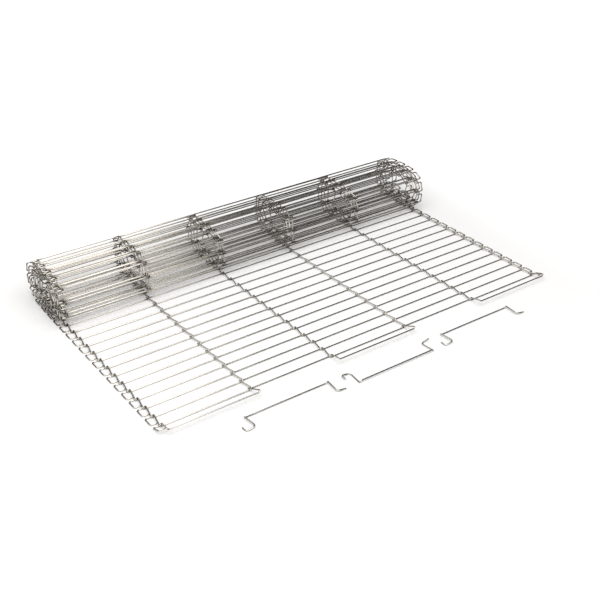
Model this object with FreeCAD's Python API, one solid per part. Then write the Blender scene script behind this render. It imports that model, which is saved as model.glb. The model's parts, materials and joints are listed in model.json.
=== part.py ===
"""Flat wire conveyor belt, half rolled up, with three loose joining wires.

The belt is a chain of strands. A strand is one bent wire across the whole width. It lies on a far row
in every second space and on a near row in the others, with a short leg at each column in between.
The wire climbs at both ends of a leg, so that the leg passes over the wires of the neighbouring strand
and clasps it, and every row is a hinge.
The belt lies along Y with its free end towards -Y. Rows lie on the floor, legs stand on the upper side,
which is the inner side of the roll.
"""
import FreeCAD
import Part
import math
import os

Vector = FreeCAD.Vector
ACROSS = Vector(1, 0, 0)

# Wire and weave
wire_diameter = 1.2
bend_radius = 1.5
row_pitch = 12.7
space_width = 77.0
space_count = 5
clasp_clearance = 0.14
climb_slope = 45.0
clasp_overlap = 1.4

# Closed loops along both edges
edge_reach = 6.0
edge_loop_length = 9.0

# Free end laid out on the floor
flat_strand_count = 13
free_end_tilt = 20.0

# Rolled-up length
base_slopes = (0, 0, 1, 5)
outer_turn_strand_count = 11
roll_strand_count = 50
roll_half_depth = 34.3
roll_half_height = 21.4
roll_fullness = 3.1
roll_setback = 27.7
turn_clearance = 0.15
tightest_bend = 92
bend_step = 2
rows_ahead = 3
inner_turns = ("second_turn", "third_turn", "core")

# Loose joining wires in front of the free end
joining_length = 76.5
joining_stub = 8.5
joining_hook = 5.5
joining_bend_radius = 2.6
joining_spacing = 96.8
joining_shift = -3.3
joining_ahead = 14.6

# Sizes that follow from those above
wire_radius = wire_diameter / 2
clasp_gap = wire_diameter + clasp_clearance
climb_run = clasp_gap / math.tan(math.radians(climb_slope))
strand_length = row_pitch + clasp_gap
turn_gap = clasp_gap + wire_diameter + turn_clearance
belt_half_width = space_count * space_width / 2
free_end = flat_strand_count * row_pitch + strand_length * math.cos(math.radians(free_end_tilt))

# Bent wire
MOST_OF_RUN = 0.49


def rounded_path(points, wanted_radius):
    """A path of straight runs with a tangent arc at each inner point, smaller where a run is short."""
    edges = []
    start = points[0]
    for before, corner, after in zip(points, points[1:], points[2:]):
        run_in = corner - before
        run_out = after - corner
        turn = run_in.getAngle(run_out)
        cut = min(
            wanted_radius * math.tan(turn / 2),
            MOST_OF_RUN * run_in.Length,
            MOST_OF_RUN * run_out.Length,
        )
        radius = cut / math.tan(turn / 2)
        run_in.normalize()
        run_out.normalize()
        inward = (run_out - run_in).normalize()
        arc_start = corner - run_in * cut
        arc_end = corner + run_out * cut
        arc_middle = corner + inward * (radius / math.cos(turn / 2) - radius)
        edges.append(Part.LineSegment(start, arc_start).toShape())
        edges.append(Part.Arc(arc_start, arc_middle, arc_end).toShape())
        start = arc_end
    edges.append(Part.LineSegment(start, points[-1]).toShape())
    return Part.Wire(edges)


def bent_wire(points, wanted_radius):
    """One piece of round wire bent along the points."""
    section = Part.Circle(points[0], points[1] - points[0], wire_radius).toShape()
    return rounded_path(points, wanted_radius).makePipe(Part.Face(Part.Wire(section)))


# Strand, with its far row on the X axis and its near row towards -Y
def leg_points(end_x, shift_x, climb_x):
    """A leg from end_x at the far row to the near row, leaning by shift_x, with a climb at both ends."""
    return [
        Vector(end_x + climb_x, 0, 0),
        Vector(end_x, 0, clasp_gap),
        Vector(end_x + shift_x, -strand_length, clasp_gap),
        Vector(end_x + shift_x - climb_x, -strand_length, 0),
    ]


def column_points(column):
    """The leg at one column, in order of the wire's way from left to right."""
    x = column * space_width - belt_half_width
    if column % 2 == 0:
        return leg_points(x + clasp_overlap, -2 * clasp_overlap, -climb_run)
    return leg_points(x - clasp_overlap, 2 * clasp_overlap, climb_run)[::-1]


def edge_points(edge, last):
    """The closed loop outside an edge, from the leg's last point to the end tucked under the leg."""
    outward = math.copysign(1, edge)
    along = -1 if last.y == 0 else 1
    outer_x = edge + outward * edge_reach
    return [
        Vector(outer_x, last.y, 0),
        Vector(outer_x, last.y + along * edge_loop_length, 0),
        Vector(edge, last.y + along * edge_loop_length, 0),
    ]


def strand_points():
    """The whole way of one strand from its left end to its right end."""
    points = []
    for column in range(space_count + 1):
        points += column_points(column)
    left = edge_points(-belt_half_width, points[0])
    right = edge_points(belt_half_width, points[-1])
    return left[::-1] + points + right


# Rolled-up length, as the rows of its hinges from the free end inwards
def inside_roll(row):
    """Whether a row lies inside the oval outline of the roll."""
    depth = abs(row.y - roll_setback) / roll_half_depth
    height = abs(row.z - wire_radius - roll_half_height) / roll_half_height
    return depth**roll_fullness + height**roll_fullness <= 1


def distance_to_run(point, start, end):
    """How far a point lies from a straight run."""
    run = end - start
    share = (point - start).dot(run) / run.dot(run)
    return (point - start - run * min(max(share, 0), 1)).Length


def strand_line(inner, outer):
    """The line half way up a strand, from its inner row to its wires just past the outer row."""
    along = (outer - inner).normalize()
    start = inner + along.cross(ACROSS) * (clasp_gap / 2)
    return start, start + along * strand_length


def parts_ends(line, other):
    """Whether a line has the two ends of another on different sides."""
    start, run = line[0], line[1] - line[0]
    return run.cross(other[0] - start).x * run.cross(other[1] - start).x < 0


def lines_apart(line, other):
    """The least distance between two lines, 0 where they cross."""
    if parts_ends(line, other) and parts_ends(other, line):
        return 0
    ends = [distance_to_run(end, *other) for end in line]
    other_ends = [distance_to_run(end, *line) for end in other]
    return min(ends + other_ends)


def next_rows(rows):
    """The places that the outline and the turns outside leave for the next row, least bend first."""
    heading = rows[-1] - rows[-2]
    turns = [strand_line(inner, outer) for outer, inner in zip(rows[:-2], rows[1:])]
    for bend in range(0, tightest_bend, bend_step):
        row = rows[-1] + FreeCAD.Rotation(ACROSS, bend).multVec(heading)
        line = strand_line(row, rows[-1])
        if inside_roll(row) and all(lines_apart(line, turn) >= turn_gap for turn in turns):
            yield row


def goes_on(rows, count):
    """Whether the winding can go on for a number of rows."""
    return count == 0 or any(goes_on(rows + [row], count - 1) for row in next_rows(rows))


def roll_rows():
    """The rows of the rolled-up length, which starts on the floor and rises gently under the roll."""
    rows = [Vector(0, -row_pitch, wire_radius)]
    for slope in base_slopes:
        rows.append(rows[-1] + FreeCAD.Rotation(ACROSS, slope).multVec(Vector(0, row_pitch, 0)))
    while len(rows) <= roll_strand_count:
        ahead = min(rows_ahead, roll_strand_count - len(rows))
        row = next((row for row in next_rows(rows) if goes_on(rows + [row], ahead)), None)
        if row is None:
            break
        rows.append(row)
    return rows


# Loose joining wire, with its straight run on the X axis and its legs towards -Y
def joining_points():
    """A straight run one space long, a leg at each end, a stub sloping down outwards and a hook on the left."""
    end_x = joining_length / 2
    right_leg = leg_points(end_x, -clasp_overlap, -climb_run)[:-1]
    left_leg = leg_points(-end_x, clasp_overlap, climb_run)[:-1]
    stub_x = end_x - clasp_overlap + joining_stub
    hook = Vector(-stub_x, -strand_length + joining_hook, 0)
    hook_corner = Vector(-stub_x, -strand_length, 0)
    stub_end = Vector(stub_x, -strand_length, 0)
    return [hook, hook_corner] + left_leg[::-1] + right_leg + [stub_end]


# Placing
def placed(shape, position, turn):
    """A copy of a shape, turned about X by a number of degrees and moved to a position."""
    copy = shape.copy()
    copy.Placement = FreeCAD.Placement(position, FreeCAD.Rotation(ACROSS, turn))
    return copy


def flat_row(number):
    """The far row of a flat strand, numbered from the roll."""
    return Vector(0, -number * row_pitch, wire_radius)


def flat_strands(strand):
    """The strands laid out on the floor, the last one tilted up at the free end."""
    nodes = {}
    for number in range(1, flat_strand_count + 1):
        tilt = free_end_tilt if number == flat_strand_count else 0
        nodes[f"flat_strand_{number:02d}"] = placed(strand, flat_row(number), -tilt)
    return nodes


def roll_strands(strand, rows):
    """The rolled-up strands from the free end inwards, each from its own row to the row outside it."""
    strands = []
    for outer, inner in zip(rows, rows[1:]):
        heading = outer - inner
        strands.append(placed(strand, inner, math.degrees(math.atan2(-heading.z, -heading.y))))
    return strands


def roll_nodes(strands):
    """The strands under the roll and in its outer turn one by one, and the inner turns as groups."""
    names = [f"base_strand_{k + 1:02d}" for k in range(len(base_slopes))]
    names += [f"outer_turn_strand_{k + 1:02d}" for k in range(outer_turn_strand_count)]
    nodes = dict(zip(names, strands))
    inner = strands[len(names):]
    for k, turn in enumerate(inner_turns):
        first, last = (len(inner) * n // len(inner_turns) for n in (k, k + 1))
        nodes[f"{turn}_strands"] = Part.makeCompound(inner[first:last])
    return nodes


def joining_wires(wire):
    """Three joining wires in a row on the floor, the middle one turned over."""
    y = -free_end - joining_ahead
    upright = Vector(0, y, wire_radius)
    turned_over = Vector(0, y - strand_length, wire_radius + clasp_gap)
    nodes = {}
    for step, name in enumerate(("left", "middle", "right")):
        x = joining_shift + (step - 1) * joining_spacing
        over = name == "middle"
        position = (turned_over if over else upright) + ACROSS * x
        nodes[f"joining_wire_{name}"] = placed(wire, position, 180 if over else 0)
    return nodes


strand = bent_wire(strand_points(), bend_radius)
rows = roll_rows()
nodes = {
    **flat_strands(strand),
    **roll_nodes(roll_strands(strand, rows)),
    **joining_wires(bent_wire(joining_points(), joining_bend_radius)),
}

# The origin is on the floor, at the middle of the whole object
box = Part.makeCompound(list(nodes.values())).optimalBoundingBox(False, False)
to_origin = Vector(-box.Center.x, -box.Center.y, -box.ZMin)

os.makedirs("parts", exist_ok=True)
for name, shape in nodes.items():
    shape.translate(to_origin)
    shape.exportStep(f"parts/{name}.step")
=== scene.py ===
"""Studio scene of a flat wire conveyor belt, half rolled up, with three loose joining wires.

Each strand of the belt is one bent wire. Its way is laid out from the belt's sizes and put on its rows,
flat on the floor or wound up in the roll. One Geometry Nodes tree then rounds the corners and gives the
wire its thickness, and one shader group gives drawn steel wire its streaks and tarnish, and darkens its
bends with bend marks and painted shade, most deeply in the roll.
"""
from __future__ import annotations

import cmath
import json
import logging
import math
from dataclasses import dataclass, field
from enum import Enum
from typing import Any, Iterable, Iterator, Sequence

import bpy
from mathutils import Euler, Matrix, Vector

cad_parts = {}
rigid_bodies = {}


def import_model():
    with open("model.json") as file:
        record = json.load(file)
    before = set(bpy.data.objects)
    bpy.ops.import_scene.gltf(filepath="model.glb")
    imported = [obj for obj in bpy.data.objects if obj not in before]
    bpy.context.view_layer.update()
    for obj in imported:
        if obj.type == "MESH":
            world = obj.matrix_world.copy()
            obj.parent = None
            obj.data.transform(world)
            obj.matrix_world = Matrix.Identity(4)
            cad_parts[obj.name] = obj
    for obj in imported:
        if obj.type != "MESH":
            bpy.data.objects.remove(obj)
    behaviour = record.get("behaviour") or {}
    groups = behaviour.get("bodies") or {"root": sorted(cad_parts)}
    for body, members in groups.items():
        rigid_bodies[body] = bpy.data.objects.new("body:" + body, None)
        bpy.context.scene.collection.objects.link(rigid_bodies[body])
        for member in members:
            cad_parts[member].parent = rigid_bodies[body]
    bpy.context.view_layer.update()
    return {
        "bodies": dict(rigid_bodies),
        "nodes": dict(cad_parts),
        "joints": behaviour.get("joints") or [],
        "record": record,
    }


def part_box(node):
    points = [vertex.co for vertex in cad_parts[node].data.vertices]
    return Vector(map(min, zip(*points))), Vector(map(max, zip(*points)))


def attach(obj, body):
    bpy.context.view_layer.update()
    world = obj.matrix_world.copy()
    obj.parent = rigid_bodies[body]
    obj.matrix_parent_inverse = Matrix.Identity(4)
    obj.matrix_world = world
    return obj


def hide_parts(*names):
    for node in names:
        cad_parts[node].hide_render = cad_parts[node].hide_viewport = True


LOG = logging.getLogger("wire_belt")
FIRST_HINGE = "flat_hinge_01"
MM = 0.001


# Node trees


class NodeTree:
    """A node tree with short ways to add and join nodes."""

    def __init__(self, tree: bpy.types.NodeTree) -> None:
        """Takes over a tree and empties it."""
        self.tree = tree
        tree.nodes.clear()

    def add(self, kind: str, inputs: dict[str, Any] | None = None, **settings: Any) -> bpy.types.Node:
        """Adds a node.

        Args:
            kind: The node's type name.
            inputs: What its inputs get by socket name: another node's output, or a plain value.
            settings: The node's own settings.

        Returns:
            The new node.
        """
        node = self.tree.nodes.new(kind)
        for key, value in settings.items():
            setattr(node, key, value)
        for key, value in (inputs or {}).items():
            self.feed(self.socket(node, key), value)
        return node

    def feed(self, socket: bpy.types.NodeSocket, value: Any) -> None:
        """Gives an input another node's output, or a plain value."""
        if isinstance(value, bpy.types.NodeSocket):
            self.tree.links.new(value, socket)
        else:
            socket.default_value = value

    @staticmethod
    def socket(node: bpy.types.Node, key: str) -> bpy.types.NodeSocket:
        """The input of a node by name, or by number where several share a name."""
        if key.isdigit():
            return node.inputs[int(key)]
        return next(s for s in node.inputs if s.name == key and s.enabled)

    def math(self, operation: str, a: Any, b: Any = 0.0) -> bpy.types.NodeSocket:
        """A sum, product or other operation on two values.

        Args:
            operation: The operation's name.
            a: First value or output.
            b: Second value or output.

        Returns:
            The result's socket.
        """
        return self.add("ShaderNodeMath", {"0": a, "1": b}, operation=operation).outputs[0]

    def vector(self, operation: str, a: Any, b: Any = (0.0, 0.0, 0.0)) -> bpy.types.NodeSocket:
        """A sum, product or other operation on two vectors.

        Args:
            operation: The operation's name.
            a: First vector or output.
            b: Second vector or output.

        Returns:
            The result's socket.
        """
        return self.add("ShaderNodeVectorMath", {"0": a, "1": b}, operation=operation).outputs["Vector"]

    def spread(self, value: Any, low: float, high: float) -> bpy.types.NodeSocket:
        """A value from 0 to 1 spread over a span.

        Args:
            value: The output that runs from 0 to 1.
            low: What 0 becomes.
            high: What 1 becomes.

        Returns:
            The result's socket.
        """
        node = self.add("ShaderNodeMapRange", {"Value": value, "To Min": low, "To Max": high})
        return node.outputs["Result"]

    def mix(self, share: Any, a: Any, b: Any) -> bpy.types.NodeSocket:
        """Two values mixed.

        Args:
            share: The share of the second value.
            a: First value or output.
            b: Second value or output.

        Returns:
            The result's socket.
        """
        return self.add("ShaderNodeMix", {"0": share, "2": a, "3": b}, data_type="FLOAT").outputs[0]

    def blend(self, kind: str, share: Any, a: Any, b: Any) -> bpy.types.NodeSocket:
        """Two colours mixed.

        Args:
            kind: The blend type.
            share: The share of the second colour.
            a: First colour.
            b: Second colour.

        Returns:
            The result's socket.
        """
        node = self.add("ShaderNodeMix", data_type="RGBA", blend_type=kind)
        self.feed(node.inputs["Factor"], share)
        self.feed(node.inputs[6], a)
        self.feed(node.inputs[7], b)
        return node.outputs[2]


# The way of a wire


@dataclass(frozen=True)
class WeaveSizes:
    """Sizes of the bent wire and of its weave, in metres."""

    wire_radius: float = 0.6 * MM
    bend_radius: float = 1.5 * MM
    row_pitch: float = 12.7 * MM
    space_width: float = 77.0 * MM
    space_count: int = 5
    clasp_gap: float = 1.34 * MM
    climb_slope: float = math.radians(45.0)
    clasp_overlap: float = 1.4 * MM
    edge_reach: float = 6.0 * MM
    edge_loop_length: float = 9.0 * MM

    @property
    def climb_run(self) -> float:
        """How far the wire goes sideways while it climbs to a leg."""
        return self.clasp_gap / math.tan(self.climb_slope)

    @property
    def strand_length(self) -> float:
        """Distance between a strand's far and near row wires."""
        return self.row_pitch + self.clasp_gap

    @property
    def half_width(self) -> float:
        """Half the width between the outer columns."""
        return self.space_count * self.space_width / 2

    def leg(self, end_x: float, shift_x: float, climb_x: float) -> list[Vector]:
        """A leg from the far row to the near row, with a climb at both ends.

        Args:
            end_x: Where it stands at the far row.
            shift_x: How far it leans on its way.
            climb_x: How far the wire goes sideways in a climb.

        Returns:
            Its four corners.
        """
        near_x, near_y = end_x + shift_x, -self.strand_length
        return [
            Vector((end_x + climb_x, 0, 0)),
            Vector((end_x, 0, self.clasp_gap)),
            Vector((near_x, near_y, self.clasp_gap)),
            Vector((near_x - climb_x, near_y, 0)),
        ]

    def column(self, number: int) -> list[Vector]:
        """The leg at one column, in order of the wire's way from left to right."""
        x = number * self.space_width - self.half_width
        lap = self.clasp_overlap
        if number % 2 == 0:
            return self.leg(x + lap, -2 * lap, -self.climb_run)
        return self.leg(x - lap, 2 * lap, self.climb_run)[::-1]

    def edge(self, x: float, last: Vector) -> list[Vector]:
        """The closed loop outside an edge.

        Args:
            x: Where the edge's column stands.
            last: The leg's last point.

        Returns:
            The loop's corners, to the end tucked under the leg.
        """
        outer_x = x + math.copysign(self.edge_reach, x)
        end_y = last.y + math.copysign(self.edge_loop_length, -1 if last.y == 0 else 1)
        return [Vector((outer_x, last.y, 0)), Vector((outer_x, end_y, 0)), Vector((x, end_y, 0))]

    def strand(self) -> list[Vector]:
        """The corners of one strand from its left end to its right end."""
        corners = [p for number in range(self.space_count + 1) for p in self.column(number)]
        left = self.edge(-self.half_width, corners[0])
        return left[::-1] + corners + self.edge(self.half_width, corners[-1])


Line = tuple[complex, complex]


@dataclass(frozen=True)
class RollWinding:
    """The rolled-up length seen from the side, with places as complex numbers: along the belt, and up."""

    weave: WeaveSizes = field(default_factory=WeaveSizes)
    base_slopes: tuple[float, ...] = (0, 0, 1, 5)
    strand_count: int = 50
    half_depth: float = 34.3 * MM
    half_height: float = 21.4 * MM
    fullness: float = 3.1
    setback: float = 27.7 * MM
    turn_clearance: float = 0.15 * MM
    tightest_bend: int = 92
    bend_step: int = 2
    rows_ahead: int = 3

    @property
    def turn_gap(self) -> float:
        """The least distance between the middle lines of two strands in different turns."""
        return self.weave.clasp_gap + 2 * self.weave.wire_radius + self.turn_clearance

    def inside(self, row: complex) -> bool:
        """Whether a row lies inside the oval outline of the roll."""
        depth = abs(row.real - self.setback) / self.half_depth
        height = abs(row.imag - self.weave.wire_radius - self.half_height) / self.half_height
        return depth**self.fullness + height**self.fullness <= 1

    def line(self, inner: complex, outer: complex) -> Line:
        """The line half way up a strand, from its inner row to its wires just past the outer row."""
        along = (outer - inner) / abs(outer - inner)
        start = inner - 1j * along * self.weave.clasp_gap / 2
        return start, start + along * self.weave.strand_length

    @staticmethod
    def reach(point: complex, line: Line) -> float:
        """How far a point lies from a line."""
        run = line[1] - line[0]
        share = ((point - line[0]) * run.conjugate()).real / abs(run) ** 2
        return abs(point - line[0] - run * min(max(share, 0), 1))

    @staticmethod
    def parts(line: Line, other: Line) -> bool:
        """Whether a line has the two ends of another on different sides."""
        back = (line[1] - line[0]).conjugate()
        return (back * (other[0] - line[0])).imag * (back * (other[1] - line[0])).imag < 0

    def apart(self, line: Line, other: Line) -> float:
        """The least distance between two lines, 0 where they cross."""
        if self.parts(line, other) and self.parts(other, line):
            return 0.0
        return min([self.reach(p, other) for p in line] + [self.reach(p, line) for p in other])

    def next_rows(self, rows: list[complex]) -> Iterator[complex]:
        """The places that the outline and the turns outside leave for the next row, least bend first.

        Args:
            rows: The rows so far, from the outside inwards.

        Returns:
            The places.
        """
        heading = rows[-1] - rows[-2]
        turns = [self.line(inner, outer) for outer, inner in zip(rows[:-2], rows[1:])]
        for bend in range(0, self.tightest_bend, self.bend_step):
            row = rows[-1] + heading * cmath.rect(1, math.radians(bend))
            line = self.line(row, rows[-1])
            if self.inside(row) and all(self.apart(line, turn) >= self.turn_gap for turn in turns):
                yield row

    def goes_on(self, rows: list[complex], count: int) -> bool:
        """Whether the winding can go on for a number of rows."""
        return count == 0 or any(self.goes_on(rows + [row], count - 1) for row in self.next_rows(rows))

    def rows(self) -> list[complex]:
        """All rows of the rolled-up length, from the floor in front of the roll inwards."""
        pitch = self.weave.row_pitch
        rows = [complex(-pitch, self.weave.wire_radius)]
        for slope in self.base_slopes:
            rows.append(rows[-1] + cmath.rect(pitch, math.radians(slope)))
        while len(rows) <= self.strand_count:
            ahead = min(self.rows_ahead, self.strand_count - len(rows))
            row = next((r for r in self.next_rows(rows) if self.goes_on(rows + [r], ahead)), None)
            if row is None:
                break
            rows.append(row)
        return rows


@dataclass(frozen=True)
class Lie:
    """How a wire lies: the place of its far row and its turn about the X axis."""

    row: Vector
    turn: float

    def place(self, corner: Vector) -> Vector:
        """A corner of the wire's own frame, put where the wire lies."""
        cos, sin = math.cos(self.turn), math.sin(self.turn)
        turned = Vector((corner.x, corner.y * cos - corner.z * sin, corner.y * sin + corner.z * cos))
        return self.row + turned


@dataclass
class WirePaths:
    """The ways of the wires of one piece, as chains of points with their marks.

    Bends are darkened as strongly as the bend tone says: partly bend marks, partly painted shade, deeper
    where the wire is wound in the roll. A run of more than short_parts parts sways. A shorter one doesn't,
    but down to shortest_run it gets points of its own, so that the darkening fades between its bends.
    """

    bend_radius: float
    bend_mark_and_shade_tone: float = 1.0
    part_length: float = 8 * MM
    most_of_run: float = 0.49
    short_parts: int = 3
    short_shares: tuple[float, ...] = (0.36, 0.64)
    shortest_run: float = 5 * MM
    points: list[Vector] = field(default_factory=list)
    bend: list[float] = field(default_factory=list)
    worked_and_shaded: list[float] = field(default_factory=list)
    sway: list[float] = field(default_factory=list)
    lot: list[float] = field(default_factory=list)
    chains: list[tuple[int, int]] = field(default_factory=list)

    def add(self, corners: Sequence[Vector], lot: float) -> None:
        """Adds one wire.

        Args:
            corners: Its corners from end to end. Long runs between them are parted, so that they can sway.
            lot: A number of its own, from which its small differences come.
        """
        first = len(self.points)
        for k, (start, end) in enumerate(zip(corners, corners[1:])):
            bend = self.bend_share(corners[k - 1], start, end) if k else 0.0
            # Corners after the first carry the bend darkening: bend marks and painted shade.
            self._point(start, bend, self.bend_mark_and_shade_tone if k else 0.0, 0.0, lot)
            long_run, shares = self._inner_points((end - start).length)
            for share in shares:
                sway = math.sin(math.pi * share) if long_run else 0.0
                self._point(start.lerp(end, share), 0.0, 0.0, sway, lot)
        self._point(corners[-1], 0.0, 0.0, 0.0, lot)
        self.chains.append((first, len(self.points)))

    def _inner_points(self, length: float) -> tuple[bool, list[float]]:
        """Where a run gets points between its corners, so that it can sway or lose its bend marks and
        painted shade.

        Args:
            length: The run's length.

        Returns:
            Whether the run is long enough to sway, and the points' shares of the run.
        """
        parts = round(length / self.part_length)
        if parts > self.short_parts:
            return True, [part / parts for part in range(1, parts)]
        return False, list(self.short_shares) if length > self.shortest_run else []

    def bend_share(self, before: Vector, corner: Vector, after: Vector) -> float:
        """The share of the bend radius that a corner gets: less than 1 where a run is short.

        Args:
            before: The corner before.
            corner: The corner.
            after: The corner after.

        Returns:
            The share.
        """
        run_in, run_out = corner - before, after - corner
        slope = math.tan(run_in.angle(run_out) / 2)
        room = self.most_of_run * min(run_in.length, run_out.length)
        return min(1.0, room / (slope * self.bend_radius))

    def _point(self, place: Vector, bend: float, worked_and_shaded: float, sway: float, lot: float) -> None:
        """Adds a point with its marks."""
        self.points.append(place)
        self.bend.append(bend)
        self.worked_and_shaded.append(worked_and_shaded)
        self.sway.append(sway)
        self.lot.append(lot)

    def mesh(self, name: str) -> bpy.types.Mesh:
        """The chains as a mesh of edges that carries the marks as attributes."""
        edges = [(i, i + 1) for first, end in self.chains for i in range(first, end - 1)]
        mesh = bpy.data.meshes.new(name)
        mesh.from_pydata(self.points, edges, [])
        for mark in ("bend", "worked_and_shaded", "sway", "lot"):
            mesh.attributes.new(mark, "FLOAT", "POINT").data.foreach_set("value", getattr(self, mark))
        return mesh


# Bent wire from its way


@dataclass(frozen=True)
class WireShape:
    """Sizes that the wire tree takes, by the names of its inputs."""

    wire_radius: float
    bend_radius: float
    bend_steps: int = 6
    round_steps: int = 14
    sway_depth: float = 0.25 * MM
    end_share: float = 0.8

    def inputs(self) -> dict[str, float | int]:
        """Each input's name and value."""
        return {
            "Wire Radius": self.wire_radius,
            "Bend Radius": self.bend_radius,
            "Bend Steps": self.bend_steps,
            "Round Steps": self.round_steps,
            "Sway Depth": self.sway_depth,
            "End Share": self.end_share,
        }


class WireTree:
    """The Geometry Nodes tree that turns chains of points into bent round wire."""

    SWAY_SCALE = 9.0
    SWAY_DETAIL = 1.0
    SWAY_MIDDLE = (0.5, 0.5, 0.3)
    SWAY_SHARES = (0.0, 2.0, 1.0)
    LOT_STEP = 3.7

    def __init__(self) -> None:
        """Builds the tree once."""
        self.tree = bpy.data.node_groups.new("bent_wire", "GeometryNodeTree")
        self._sockets()
        self._nodes()

    def _sockets(self) -> None:
        """Names the tree's inputs and its output."""
        make = self.tree.interface.new_socket
        make("Paths", in_out="INPUT", socket_type="NodeSocketGeometry")
        for name in ("Wire Radius", "Bend Radius", "Sway Depth", "End Share"):
            make(name, in_out="INPUT", socket_type="NodeSocketFloat")
        for name in ("Bend Steps", "Round Steps"):
            make(name, in_out="INPUT", socket_type="NodeSocketInt")
        make("Finish", in_out="INPUT", socket_type="NodeSocketMaterial")
        make("Wire", in_out="OUTPUT", socket_type="NodeSocketGeometry")

    def _nodes(self) -> None:
        """Adds the nodes: round the corners, sway, thin the cut ends, sweep, and set the finish."""
        t = NodeTree(self.tree)
        given = t.add("NodeGroupInput").outputs
        curve = t.add("GeometryNodeMeshToCurve", {"Mesh": given["Paths"]}).outputs[0]
        radius = t.math("MULTIPLY", self._mark(t, "bend"), given["Bend Radius"])
        rounded = t.add("GeometryNodeFilletCurve", mode="POLY")
        fed = {"Curve": curve, "Radius": radius, "Limit Radius": True, "Count": given["Bend Steps"]}
        for key, value in fed.items():
            t.feed(rounded.inputs[key], value)
        swayed = self._sway(t, rounded.outputs[0], given["Sway Depth"])
        ends = t.add("GeometryNodeCurveEndpointSelection").outputs[0]
        thinned = t.add(
            "GeometryNodeSetCurveRadius",
            {"Curve": swayed, "Selection": t.math("SUBTRACT", 1.0, ends), "Radius": 1.0},
        ).outputs[0]
        thinned = t.add(
            "GeometryNodeSetCurveRadius",
            {"Curve": thinned, "Selection": ends, "Radius": given["End Share"]},
        ).outputs[0]
        length = t.add("GeometryNodeSplineParameter").outputs["Length"]
        marked = self._store(t, thinned, "along", "FLOAT", length)
        section = self._section(t, given["Wire Radius"], given["Round Steps"])
        swept = t.add(
            "GeometryNodeCurveToMesh",
            {
                "Curve": marked,
                "Profile Curve": section,
                "Scale": t.add("GeometryNodeInputRadius").outputs[0],
                "Fill Caps": True,
            },
        ).outputs[0]
        smooth = t.add("GeometryNodeSetShadeSmooth", {"Geometry": swept, "Shade Smooth": True}).outputs[0]
        real = t.add("GeometryNodeRealizeInstances", {"Geometry": smooth}).outputs[0]
        done = t.add("GeometryNodeSetMaterial", {"Geometry": real, "Material": given["Finish"]}).outputs[0]
        t.add("NodeGroupOutput", {"Wire": done})

    @staticmethod
    def _mark(t: NodeTree, name: str) -> bpy.types.NodeSocket:
        """A mark that the points carry."""
        return t.add("GeometryNodeInputNamedAttribute", {"Name": name}, data_type="FLOAT").outputs[0]

    @staticmethod
    def _store(
        t: NodeTree, geometry: bpy.types.NodeSocket, name: str, kind: str, value: bpy.types.NodeSocket
    ) -> bpy.types.NodeSocket:
        """Keeps a value on the points.

        Args:
            t: The tree.
            geometry: What carries the points.
            name: The attribute's name.
            kind: The attribute's data type.
            value: The value's socket.

        Returns:
            The geometry's socket.
        """
        fed = {"Geometry": geometry, "Name": name, "Value": value}
        return t.add("GeometryNodeStoreNamedAttribute", fed, data_type=kind, domain="POINT").outputs[0]

    def _sway(
        self, t: NodeTree, curve: bpy.types.NodeSocket, depth: bpy.types.NodeSocket
    ) -> bpy.types.NodeSocket:
        """Lets long runs bow a little, each strand in its own way.

        Args:
            t: The tree.
            curve: The curve's socket.
            depth: How far a run may bow.

        Returns:
            The curve's socket.
        """
        lot = t.math("MULTIPLY", self._mark(t, "lot"), self.LOT_STEP)
        noise = t.add("ShaderNodeTexNoise", noise_dimensions="4D")
        t.feed(noise.inputs["W"], lot)
        noise.inputs["Scale"].default_value = self.SWAY_SCALE
        noise.inputs["Detail"].default_value = self.SWAY_DETAIL
        centred = t.vector("SUBTRACT", noise.outputs["Color"], self.SWAY_MIDDLE)
        across = t.vector("MULTIPLY", centred, self.SWAY_SHARES)
        bow = t.add("ShaderNodeVectorMath", operation="SCALE")
        t.feed(bow.inputs[0], across)
        t.feed(bow.inputs["Scale"], t.math("MULTIPLY", self._mark(t, "sway"), depth))
        return t.add("GeometryNodeSetPosition", {"Geometry": curve, "Offset": bow.outputs[0]}).outputs[0]

    def _section(
        self, t: NodeTree, radius: bpy.types.NodeSocket, steps: bpy.types.NodeSocket
    ) -> bpy.types.NodeSocket:
        """The wire's round section, with each point's place on the rim.

        Args:
            t: The tree.
            radius: The wire's radius.
            steps: How many corners the section has.

        Returns:
            The section's socket.
        """
        circle = t.add("GeometryNodeCurvePrimitiveCircle", mode="RADIUS")
        t.feed(circle.inputs["Resolution"], steps)
        t.feed(circle.inputs["Radius"], radius)
        rim = t.add("ShaderNodeVectorMath", operation="NORMALIZE")
        t.feed(rim.inputs[0], t.add("GeometryNodeInputPosition").outputs[0])
        return self._store(t, circle.outputs[0], "rim", "FLOAT_VECTOR", rim.outputs[0])

    def grow(
        self, name: str, paths: WirePaths, shape: WireShape, finish: bpy.types.Material
    ) -> bpy.types.Object:
        """Makes the wires of one body as a plain mesh.

        Args:
            name: The piece's name.
            paths: The wires' ways.
            shape: The wire's sizes.
            finish: Its material.

        Returns:
            The piece.
        """
        piece = bpy.data.objects.new(name, paths.mesh(name + "_paths"))
        bpy.context.scene.collection.objects.link(piece)
        modifier = piece.modifiers.new("wire", "NODES")
        modifier.node_group = self.tree
        values = {**shape.inputs(), "Finish": finish}
        for item in self.tree.interface.items_tree:
            if item.in_out == "INPUT" and item.name in values:
                modifier[item.identifier] = values[item.name]
        graph = bpy.context.evaluated_depsgraph_get()
        mesh = bpy.data.meshes.new_from_object(
            piece.evaluated_get(graph), preserve_all_data_layers=True, depsgraph=graph
        )
        piece.modifiers.remove(modifier)
        old, piece.data = piece.data, mesh
        mesh.name = name
        bpy.data.meshes.remove(old)
        return piece


# Finishes


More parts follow.
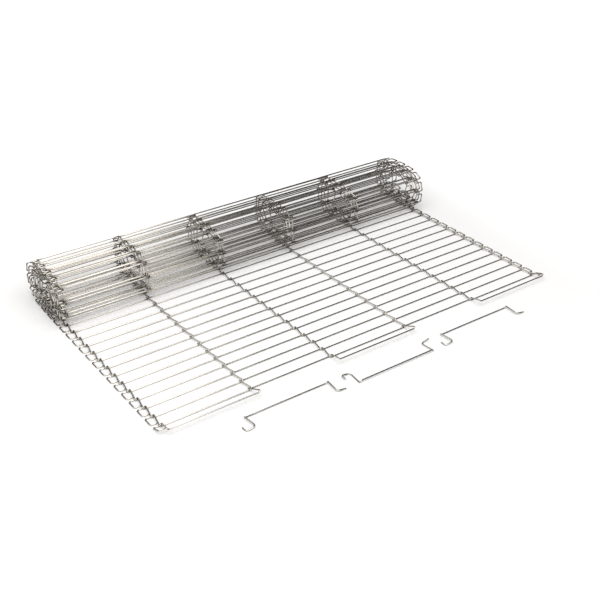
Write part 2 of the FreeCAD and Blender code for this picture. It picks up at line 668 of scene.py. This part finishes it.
class DrawnSteel:
    """The shader group of drawn steel wire: streaks along the wire, tarnish, and marks at the bends that
    are partly painted shade.
    """

    STREAKS_AROUND = 5.0
    STREAKS_ALONG = 55.0
    STREAK_DETAIL = 2.0
    STREAK_TONE = 0.14
    TARNISH_SCALE = 16.0
    TARNISH_DETAIL = 3.0
    TARNISH_SPAN = (-0.35, 1.15)
    TARNISH_SHARE = 0.45
    LOT_TONE = (0.93, 1.05)
    BEND_ROUGHNESS = -0.04
    FLECK_SCALE = 900.0
    FLECK_SHARE = 0.35

    def __init__(self) -> None:
        """Builds the group once."""
        self.tree = bpy.data.node_groups.new("drawn_steel", "ShaderNodeTree")
        make = self.tree.interface.new_socket
        for name in ("Steel", "Tarnish And Shade"):
            make(name, in_out="INPUT", socket_type="NodeSocketColor")
        for name in ("Roughness", "Streaks", "Bend Marks And Shade"):
            make(name, in_out="INPUT", socket_type="NodeSocketFloat")
        make("Color", in_out="OUTPUT", socket_type="NodeSocketColor")
        for name in ("Roughness", "Height"):
            make(name, in_out="OUTPUT", socket_type="NodeSocketFloat")
        self._nodes()

    def _nodes(self) -> None:
        """Adds the nodes: tarnish, and bend marks with painted shade, darken the steel; streaks and the lot
        change its tone.
        """
        t = NodeTree(self.tree)
        given = t.add("NodeGroupInput").outputs
        streaks = self._streaks(t)
        place = t.add("ShaderNodeTexCoord").outputs["Object"]
        fed = {"Vector": place, "Scale": self.TARNISH_SCALE, "Detail": self.TARNISH_DETAIL}
        cloud = t.spread(t.add("ShaderNodeTexNoise", fed).outputs["Fac"], *self.TARNISH_SPAN)
        flecks = t.add("ShaderNodeTexNoise", {"Vector": place, "Scale": self.FLECK_SCALE}).outputs["Fac"]
        # The worked mark darkens the bends toward the tarnish colour: partly bend marks, partly painted
        # shade.
        bend = t.add("ShaderNodeAttribute", attribute_name="worked_and_shaded").outputs["Fac"]
        lot = t.add("ShaderNodeAttribute", attribute_name="lot").outputs["Fac"]
        draw = t.add("ShaderNodeTexWhiteNoise", {"W": lot}, noise_dimensions="1D").outputs["Value"]
        worked_and_shaded = t.math("MULTIPLY", bend, given["Bend Marks And Shade"])
        tarnished_and_shaded = t.math("MAXIMUM", t.math("MULTIPLY", cloud, self.TARNISH_SHARE), worked_and_shaded)
        colour = t.blend("MIX", tarnished_and_shaded, given["Steel"], given["Tarnish And Shade"])
        streak_tone = t.spread(streaks, -self.STREAK_TONE, self.STREAK_TONE)
        tone = t.math("ADD", streak_tone, t.spread(draw, *self.LOT_TONE))
        grey = t.add("ShaderNodeCombineColor", {"Red": tone, "Green": tone, "Blue": tone}).outputs[0]
        colour = t.blend("MULTIPLY", 1.0, colour, grey)
        change = t.math("MULTIPLY", t.spread(streaks, -0.5, 0.5), given["Streaks"])
        rough = t.math("ADD", given["Roughness"], change)
        rough = t.math("ADD", rough, t.math("MULTIPLY", worked_and_shaded, self.BEND_ROUGHNESS))
        height = t.math("ADD", streaks, t.math("MULTIPLY", flecks, self.FLECK_SHARE))
        t.add("NodeGroupOutput", {"Color": colour, "Roughness": rough, "Height": height})

    def _streaks(self, t: NodeTree) -> bpy.types.NodeSocket:
        """Long fine marks of the drawing die, which follow the wire."""
        along = t.add("ShaderNodeAttribute", attribute_name="along").outputs["Fac"]
        rim = t.add("ShaderNodeAttribute", attribute_name="rim").outputs["Vector"]
        parts = t.add("ShaderNodeSeparateXYZ", {"Vector": rim}).outputs
        way = t.add(
            "ShaderNodeCombineXYZ",
            {
                "X": t.math("MULTIPLY", parts[0], self.STREAKS_AROUND),
                "Y": t.math("MULTIPLY", parts[1], self.STREAKS_AROUND),
                "Z": t.math("MULTIPLY", along, self.STREAKS_ALONG),
            },
        ).outputs[0]
        fed = {"Vector": way, "Scale": 1.0, "Detail": self.STREAK_DETAIL}
        return t.add("ShaderNodeTexNoise", fed).outputs["Fac"]


@dataclass(frozen=True)
class WireFinish:
    """A finish of steel wire."""

    slot: str
    steel: tuple[float, float, float, float]
    tarnish_and_shade: tuple[float, float, float, float]
    roughness: float
    streaks: float
    bend_marks_and_shade: float
    bump: float = 0.08
    bump_depth: float = 0.00003

    def build(self, drawn: DrawnSteel) -> bpy.types.Material:
        """The material, with the shared group in it."""
        material = bpy.data.materials.new(self.slot)
        material.use_nodes = True
        t = NodeTree(material.node_tree)
        group = t.add("ShaderNodeGroup", node_tree=drawn.tree)
        given = {
            "Steel": self.steel,
            "Tarnish And Shade": self.tarnish_and_shade,
            "Roughness": self.roughness,
            "Streaks": self.streaks,
            "Bend Marks And Shade": self.bend_marks_and_shade,
        }
        for key, value in given.items():
            group.inputs[key].default_value = value
        bump = t.add(
            "ShaderNodeBump",
            {"Strength": self.bump, "Distance": self.bump_depth, "Height": group.outputs["Height"]},
        ).outputs[0]
        steel = t.add(
            "ShaderNodeBsdfPrincipled",
            {
                "Base Color": group.outputs["Color"],
                "Roughness": group.outputs["Roughness"],
                "Metallic": 1.0,
                "Normal": bump,
            },
        ).outputs[0]
        t.add("ShaderNodeOutputMaterial", {"Surface": steel})
        return material


# The belt's dark tarnish and strong bend marks are partly painted shade at the bends, where the roll's
# turns shade each other.
BELT_FINISH = WireFinish(
    slot="belt_wire",
    steel=(0.58, 0.563, 0.532, 1.0),
    tarnish_and_shade=(0.125, 0.110, 0.094, 1.0),
    roughness=0.15,
    streaks=0.12,
    bend_marks_and_shade=0.85,
)
JOINING_FINISH = WireFinish(
    slot="joining_wire",
    steel=(0.48, 0.47, 0.45, 1.0),
    tarnish_and_shade=(0.30, 0.285, 0.26, 1.0),
    roughness=0.15,
    streaks=0.12,
    bend_marks_and_shade=0.3,
)


# The belt


@dataclass(frozen=True)
class Stretch:
    """How wires vary in one stretch of the belt: the bow of long runs, the depth of bend marks and painted
    bend shade, the lots.
    """

    sway: float
    bend_mark_and_shade_tone: float
    first_lot: int


# The rolled stretch gets darker bends than the flat one for the same wire: painted shade inside the roll.
FLAT = Stretch(sway=0.25 * MM, bend_mark_and_shade_tone=0.40, first_lot=0)
ROLLED = Stretch(sway=0.12 * MM, bend_mark_and_shade_tone=1.12, first_lot=100)


@dataclass
class WireBelt:
    """The belt: strands on the floor, under the roll, round its outer turn and in its inner turns."""

    tree: WireTree
    finish: bpy.types.Material
    weave: WeaveSizes = field(default_factory=WeaveSizes)
    free_end_tilt: float = math.radians(20.0)
    inner_turns: tuple[str, ...] = ("second_turn_strands", "third_turn_strands", "core_strands")

    def build(self, frame: dict[str, Any]) -> list[bpy.types.Object]:
        """Makes the strands of the whole belt.

        Args:
            frame: The loaded frame.

        Returns:
            The pieces.
        """
        joints = {joint["name"]: Vector(joint["pos_m"]) for joint in frame["joints"] if "pos_m" in joint}
        body_of = {n: body for body, nodes in frame["record"]["behaviour"]["bodies"].items() for n in nodes}
        return self.flat(joints) + self.rolled(joints[FIRST_HINGE], body_of)

    def flat(self, joints: dict[str, Vector]) -> list[bpy.types.Object]:
        """Makes the strands laid out on the floor, the last one tilted up.

        Args:
            joints: Where each joint is.

        Returns:
            The pieces.
        """
        rows = sorted(name for name in joints if name.startswith("flat_hinge"))
        pieces = []
        for number, name in enumerate(rows):
            node = name.replace("hinge", "strand")
            tilt = self.free_end_tilt if name == rows[-1] else 0.0
            lies = {number: Lie(joints[name], -tilt)}
            pieces.append(self.piece(f"{node}_wire", [node], node, lies, FLAT))
        return pieces

    def rolled(self, first_row: Vector, body_of: dict[str, str]) -> list[bpy.types.Object]:
        """Makes the strands under the roll and in its turns.

        Args:
            first_row: The first row of the flat length, where the rolled-up length starts.
            body_of: Each node's body.

        Returns:
            The pieces.
        """
        rows = RollWinding(self.weave).rows()
        shift = complex(first_row.y, first_row.z) - rows[0]
        lies = []
        for outer, inner in zip(rows, rows[1:]):
            place = inner + shift
            lies.append(Lie(Vector((0.0, place.real, place.imag)), cmath.phase(inner - outer)))
        single = sorted(n for n in body_of if n.startswith(("base_strand", "outer_turn_strand")))
        groups: dict[str, list[str]] = {}
        for node in single:
            groups.setdefault(body_of[node], []).append(node)
        pieces = []
        for body, nodes in groups.items():
            chosen = {single.index(node): lies[single.index(node)] for node in nodes}
            pieces.append(self.piece(f"{body}_outer_wires", nodes, body, chosen, ROLLED))
        inner = list(enumerate(lies))[len(single) :]
        for k, node in enumerate(self.inner_turns):
            first, last = (len(inner) * n // len(self.inner_turns) for n in (k, k + 1))
            name = node.replace("strands", "wires")
            pieces.append(self.piece(name, [node], body_of[node], dict(inner[first:last]), ROLLED))
        return pieces

    def piece(
        self, name: str, nodes: list[str], body: str, lies: dict[int, Lie], stretch: Stretch
    ) -> bpy.types.Object:
        """Makes one piece of strands.

        Args:
            name: The piece's name.
            nodes: The nodes that it stands for.
            body: What it moves with.
            lies: How each strand lies, by its number in the stretch.
            stretch: The stretch of the belt that it belongs to.

        Returns:
            The piece.
        """
        paths = WirePaths(self.weave.bend_radius, stretch.bend_mark_and_shade_tone)
        for number, lie in lies.items():
            corners = [lie.place(corner) for corner in self.weave.strand()]
            paths.add(corners, stretch.first_lot + number)
        shape = WireShape(self.weave.wire_radius, self.weave.bend_radius, sway_depth=stretch.sway)
        made = self.tree.grow(name, paths, shape, self.finish)
        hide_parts(*nodes)
        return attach(made, body)


class Side(Enum):
    """Which side of a joining wire is up."""

    UPRIGHT = 0.0
    TURNED_OVER = math.pi


@dataclass
class JoiningWires:
    """The three loose wires that join two ends of belt, laid in a row in front of the free end."""

    tree: WireTree
    finish: bpy.types.Material
    weave: WeaveSizes = field(default_factory=WeaveSizes)
    length: float = 76.5 * MM
    stub: float = 8.5 * MM
    hook: float = 5.5 * MM
    bend_radius: float = 2.6 * MM
    first_lot: int = 200
    sides: tuple[tuple[str, Side], ...] = (
        ("left", Side.UPRIGHT),
        ("middle", Side.TURNED_OVER),
        ("right", Side.UPRIGHT),
    )

    def corners(self) -> list[Vector]:
        """A run one space long, a leg at each end, a stub sloping down outwards and a hook on the left."""
        end_x, overlap, climb = self.length / 2, self.weave.clasp_overlap, self.weave.climb_run
        right = self.weave.leg(end_x, -overlap, -climb)[:-1]
        left = self.weave.leg(-end_x, overlap, climb)[:-1]
        near_y = -self.weave.strand_length
        stub_x = self.stub_x
        hook = [Vector((-stub_x, near_y + self.hook, 0)), Vector((-stub_x, near_y, 0))]
        return hook + left[::-1] + right + [Vector((stub_x, near_y, 0))]

    @property
    def stub_x(self) -> float:
        """How far the stub reaches from the wire's middle."""
        return self.length / 2 - self.weave.clasp_overlap + self.stub

    def lie(self, node: str, side: Side) -> Lie:
        """How a wire lies, from its node's box.

        Args:
            node: The node's name.
            side: Which side is up.

        Returns:
            Its lie.
        """
        low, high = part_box(node)
        r = self.weave.wire_radius
        x = low.x + r + self.stub_x
        if side is Side.UPRIGHT:
            return Lie(Vector((x, high.y - r, low.z + r)), side.value)
        return Lie(Vector((x, low.y + r, high.z - r)), side.value)

    def build(self) -> list[bpy.types.Object]:
        """Makes the three wires."""
        pieces = []
        shape = WireShape(self.weave.wire_radius, self.bend_radius)
        for lot, (name, side) in enumerate(self.sides, self.first_lot):
            node = f"joining_wire_{name}"
            lie = self.lie(node, side)
            paths = WirePaths(self.bend_radius)
            paths.add([lie.place(corner) for corner in self.corners()], lot)
            piece = self.tree.grow(f"joining_{name}", paths, shape, self.finish)
            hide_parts(node)
            pieces.append(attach(piece, node))
        return pieces


# Studio


@dataclass(frozen=True)
class Softbox:
    """A flat lamp."""

    name: str
    place: tuple[float, float, float]
    aim: tuple[float, float, float]
    width: float
    depth: float
    power: float
    tint: tuple[float, float, float] = (1.0, 1.0, 1.0)

    def build(self) -> None:
        """Hangs the lamp and turns it to what it lights."""
        lamp = bpy.data.lights.new(self.name, "AREA")
        lamp.shape = "RECTANGLE"
        lamp.size, lamp.size_y = self.width, self.depth
        lamp.energy = self.power
        lamp.color = self.tint
        box = bpy.data.objects.new(self.name, lamp)
        box.location = self.place
        box.rotation_euler = (Vector(self.aim) - Vector(self.place)).to_track_quat("-Z", "Y").to_euler()
        bpy.context.scene.collection.objects.link(box)


@dataclass
class Studio:
    """White floor, a soft lamp and the surroundings that the steel mirrors.

    To the camera and in the steel the floor glows a little, from near_glow beside the belt to far_glow at
    glow_reach from it. The spans are where the surroundings change, as a direction's X or Y: -1 on the left
    or in front, 1 on the right or behind.
    """

    floor_reach: float = 6.0
    near_glow: float = 0.12
    far_glow: float = 0.70
    glow_reach: float = 0.20
    belt_half: tuple[float, float, float] = (0.20, 0.135, 0.05)
    floor_colour: float = 0.80
    fill: float = 0.42
    plain: float = 0.95
    bright: float = 2.0
    bright_span: tuple[float, float] = (0.28, 0.10)
    dim_right: float = 0.03
    right_span: tuple[float, float] = (0.370, 0.447)
    dim_back: float = 0.04
    back_span: tuple[float, float] = (0.56, 0.74)
    bright_tint: tuple[float, float, float, float] = (1.0, 0.965, 0.92, 1.0)
    lamps: tuple[Softbox, ...] = (
        Softbox("overhead", (-0.45, -0.60, 1.25), (-0.1, -0.1, 0.0), 1.9, 1.6, 25.0, (1.0, 0.99, 0.975)),
    )

    def build(self) -> None:
        """Sets up the floor, the surroundings and the lamps."""
        self.floor()
        self.world()
        for lamp in self.lamps:
            lamp.build()

    @staticmethod
    def _seen(t: NodeTree) -> bpy.types.NodeSocket:
        """1 for what the camera sees, also in the steel, and 0 for light."""
        path = t.add("ShaderNodeLightPath").outputs
        seen = t.math("MAXIMUM", path["Is Camera Ray"], path["Is Glossy Ray"])
        return t.math("MAXIMUM", seen, path["Is Transmission Ray"])

    def floor(self) -> None:
        """A wide white floor that keeps the belt's shadow."""
        r = self.floor_reach
        mesh = bpy.data.meshes.new("floor")
        mesh.from_pydata([(-r, -r, 0), (r, -r, 0), (r, r, 0), (-r, r, 0)], [], [(0, 1, 2, 3)])
        floor = bpy.data.objects.new("floor", mesh)
        bpy.context.scene.collection.objects.link(floor)
        material = bpy.data.materials.new("white_floor")
        material.use_nodes = True
        t = NodeTree(material.node_tree)
        place = t.vector("ABSOLUTE", t.add("ShaderNodeNewGeometry").outputs["Position"])
        beyond = t.vector("MAXIMUM", t.vector("SUBTRACT", place, self.belt_half))
        fed = {
            "Value": t.add("ShaderNodeVectorMath", {"0": beyond}, operation="LENGTH").outputs["Value"],
            "From Max": self.glow_reach,
            "To Min": self.near_glow,
            "To Max": self.far_glow,
        }
        strength = t.add("ShaderNodeMapRange", fed, interpolation_type="SMOOTHSTEP").outputs["Result"]
        glow = t.add("ShaderNodeEmission", {"Color": (1, 1, 1, 1), "Strength": strength}).outputs[0]
        grey = (self.floor_colour,) * 3 + (1.0,)
        shade = t.add("ShaderNodeBsdfDiffuse", {"Color": grey}).outputs[0]
        shown = t.add("ShaderNodeAddShader", {"0": glow, "1": shade}).outputs[0]
        mixed = t.add("ShaderNodeMixShader", {"0": self._seen(t), "1": shade, "2": shown}).outputs[0]
        t.add("ShaderNodeOutputMaterial", {"Surface": mixed})
        mesh.materials.append(material)

    def world(self) -> None:
        """Surroundings that the steel mirrors: pale on the left, then a bright strip, then dim.

        They are dim at the back too. The camera sees them white, and they light the object evenly.
        """
        world = bpy.data.worlds.new("studio")
        bpy.context.scene.world = world
        world.use_nodes = True
        t = NodeTree(world.node_tree)
        way = t.add("ShaderNodeTexCoord").outputs["Generated"]
        parts = t.add("ShaderNodeSeparateXYZ", {"Vector": way}).outputs
        right = self._fade(t, parts["X"], self.right_span, self.dim_right)
        back = self._fade(t, parts["Y"], self.back_span, self.dim_back)
        bright = self._fade(t, parts["X"], self.bright_span, 0.0)
        sides = t.math("MULTIPLY", right, t.math("MAXIMUM", back, bright))
        tone = t.math("MULTIPLY", sides, t.mix(bright, self.plain, self.bright))
        path = t.add("ShaderNodeLightPath").outputs
        strength = t.math("MAXIMUM", t.mix(path["Is Glossy Ray"], self.fill, tone), path["Is Camera Ray"])
        tint = t.blend("MIX", path["Is Glossy Ray"], (1, 1, 1, 1), self.bright_tint)
        shown = t.add("ShaderNodeBackground", {"Color": tint, "Strength": strength}).outputs[0]
        t.add("ShaderNodeOutputWorld", {"Surface": shown})

    @staticmethod
    def _fade(
        t: NodeTree, value: bpy.types.NodeSocket, span: tuple[float, float], dim: float
    ) -> bpy.types.NodeSocket:
        """Falls softly from 1 to a dim share.

        Args:
            t: The tree.
            value: What it depends on.
            span: Where the fall starts and ends.
            dim: What is left at the end.

        Returns:
            The result's socket.
        """
        fed = {"Value": value, "From Min": span[0], "From Max": span[1], "To Min": 1.0, "To Max": dim}
        return t.add("ShaderNodeMapRange", fed, interpolation_type="SMOOTHSTEP").outputs["Result"]


@dataclass(frozen=True)
class PhotoCamera:
    """The camera where the photograph was taken from, measured from the first row of the flat length."""

    offset: tuple[float, float, float] = (-0.43773, -0.66846, 0.44396)
    turn: tuple[float, float, float] = (59.026, -0.183, -35.473)
    lens: float = 58.85
    sensor: float = 36.0
    nearest: float = 0.01

    def build(self, row: Vector) -> None:
        """Puts the camera up.

        Args:
            row: The first row of the flat length.
        """
        camera = bpy.data.cameras.new("photo_camera")
        camera.sensor_fit = "HORIZONTAL"
        camera.sensor_width = self.sensor
        camera.lens = self.lens
        camera.clip_start = self.nearest
        view = bpy.data.objects.new("photo_camera", camera)
        view.location = row + Vector(self.offset)
        view.rotation_euler = Euler([math.radians(a) for a in self.turn], "XYZ")
        bpy.context.scene.collection.objects.link(view)
        bpy.context.scene.camera = view


def report(pieces: Iterable[bpy.types.Object]) -> None:
    """Names each piece and its number of faces."""
    for piece in pieces:
        LOG.info("%s: %d faces", piece.name, len(piece.data.polygons))


def main() -> None:
    """Builds the scene round the frame."""
    logging.basicConfig(level=logging.INFO, format="%(name)s %(message)s")
    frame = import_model()
    bpy.context.scene.view_settings.view_transform = "Standard"
    first = next(joint for joint in frame["joints"] if joint["name"] == FIRST_HINGE)
    PhotoCamera().build(Vector(first["pos_m"]))
    Studio().build()
    tree, drawn = WireTree(), DrawnSteel()
    report(WireBelt(tree, BELT_FINISH.build(drawn)).build(frame))
    report(JoiningWires(tree, JOINING_FINISH.build(drawn)).build())


if __name__ == "__main__":
    main()
